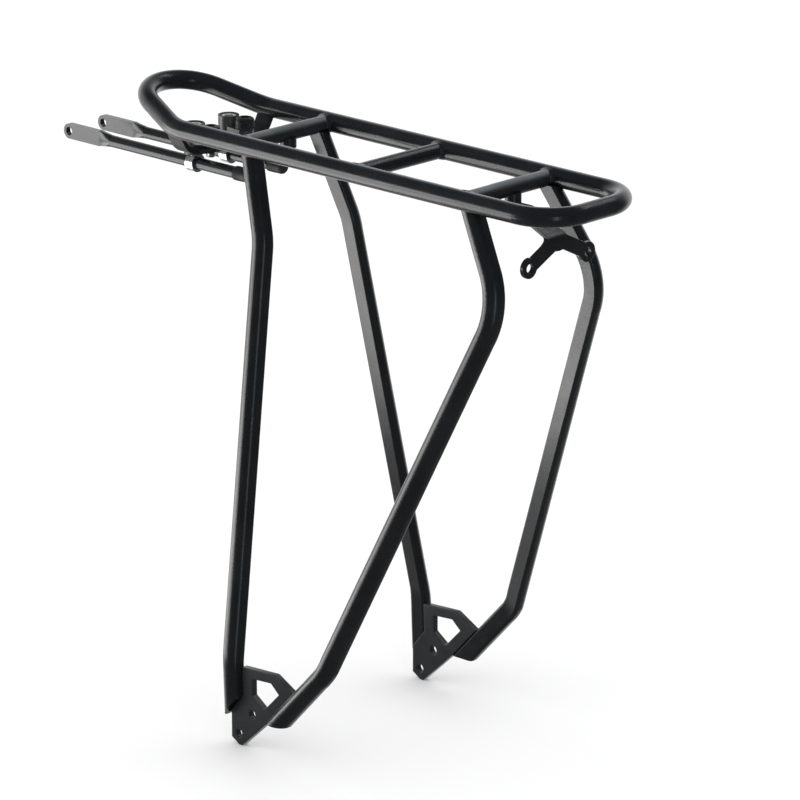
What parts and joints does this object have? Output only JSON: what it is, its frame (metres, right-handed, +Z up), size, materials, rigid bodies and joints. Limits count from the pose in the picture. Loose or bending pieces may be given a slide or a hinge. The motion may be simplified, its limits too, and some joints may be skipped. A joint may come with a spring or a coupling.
{
  "type": "rear bicycle rack",
  "caption": "Tubular rear bicycle rack: looped deck with cross bars, bent side legs on dropout plates, and sliding front stays that clamp to the frame.",
  "frame": {"origin": "midpoint between the two lower dropout eyelets, on their common axis", "axes": "+X to the rear of the bicycle, +Y to its right side, +Z up"},
  "size_m": [0.4393, 0.1776, 0.3824],
  "materials": {
    "black_coat": "black satin powder coat over aluminium",
    "stay_coat": "black satin coat over aluminium rod",
    "arm_casting": "black coated casting",
    "black_screw": "black oxide",
    "bright_zinc": "bright zinc plate",
    "cap_plastic": "moulded black"
  },
  "bodies": {
    "rack": {"deck_rail": "black_coat", "cross_bar_front": "black_coat", "cross_bar_middle": "black_coat", "cross_bar_rear": "black_coat", "front_leg_left": "black_coat", "front_leg_right": "black_coat", "rear_leg_left": "black_coat", "rear_leg_right": "black_coat", "dropout_plate_left": "black_coat", "dropout_plate_right": "black_coat", "stay_bridge": "black_coat", "mudguard_boss": "black_coat", "lamp_boss": "black_coat", "lamp_bracket": "black_coat", "arm_screws": "black_screw", "lamp_screw": "black_screw", "lamp_washer": "black_screw"},
    "arm_left": {"swivel_arm_left": "arm_casting"},
    "eye_left": {"eye_bolt_left": "bright_zinc", "eye_nut_left": "bright_zinc"},
    "stay_left": {"stay_left": "stay_coat", "stay_end_cap_left": "cap_plastic"},
    "arm_right": {"swivel_arm_right": "arm_casting"},
    "eye_right": {"eye_bolt_right": "bright_zinc", "eye_nut_right": "bright_zinc"},
    "stay_right": {"stay_right": "stay_coat", "stay_end_cap_right": "cap_plastic"}
  },
  "joints": [
    {"name": "arm_left_swing", "type": "hinge", "parent": "rack", "child": "arm_left", "pos_m": [-0.0887, -0.0146, 0.3436], "axis": [0, 0, 1], "range_deg": [-8, 8]},
    {"name": "eye_left_turn", "type": "hinge", "parent": "arm_left", "child": "eye_left", "pos_m": [-0.103, -0.0146, 0.343], "axis": [0, 0, -1], "range_deg": [-8, 8]},
    {"name": "stay_left_slide", "type": "slide", "parent": "eye_left", "child": "stay_left", "axis": [1, 0, 0], "range_m": [-0.03, 0.04]},
    {"name": "arm_right_swing", "type": "hinge", "parent": "rack", "child": "arm_right", "pos_m": [-0.0887, 0.0146, 0.3436], "axis": [0, 0, -1], "range_deg": [-8, 8]},
    {"name": "eye_right_turn", "type": "hinge", "parent": "arm_right", "child": "eye_right", "pos_m": [-0.103, 0.0146, 0.343], "axis": [0, 0, 1], "range_deg": [-8, 8]},
    {"name": "stay_right_slide", "type": "slide", "parent": "eye_right", "child": "stay_right", "axis": [1, 0, 0], "range_m": [-0.03, 0.04]}
  ]
}
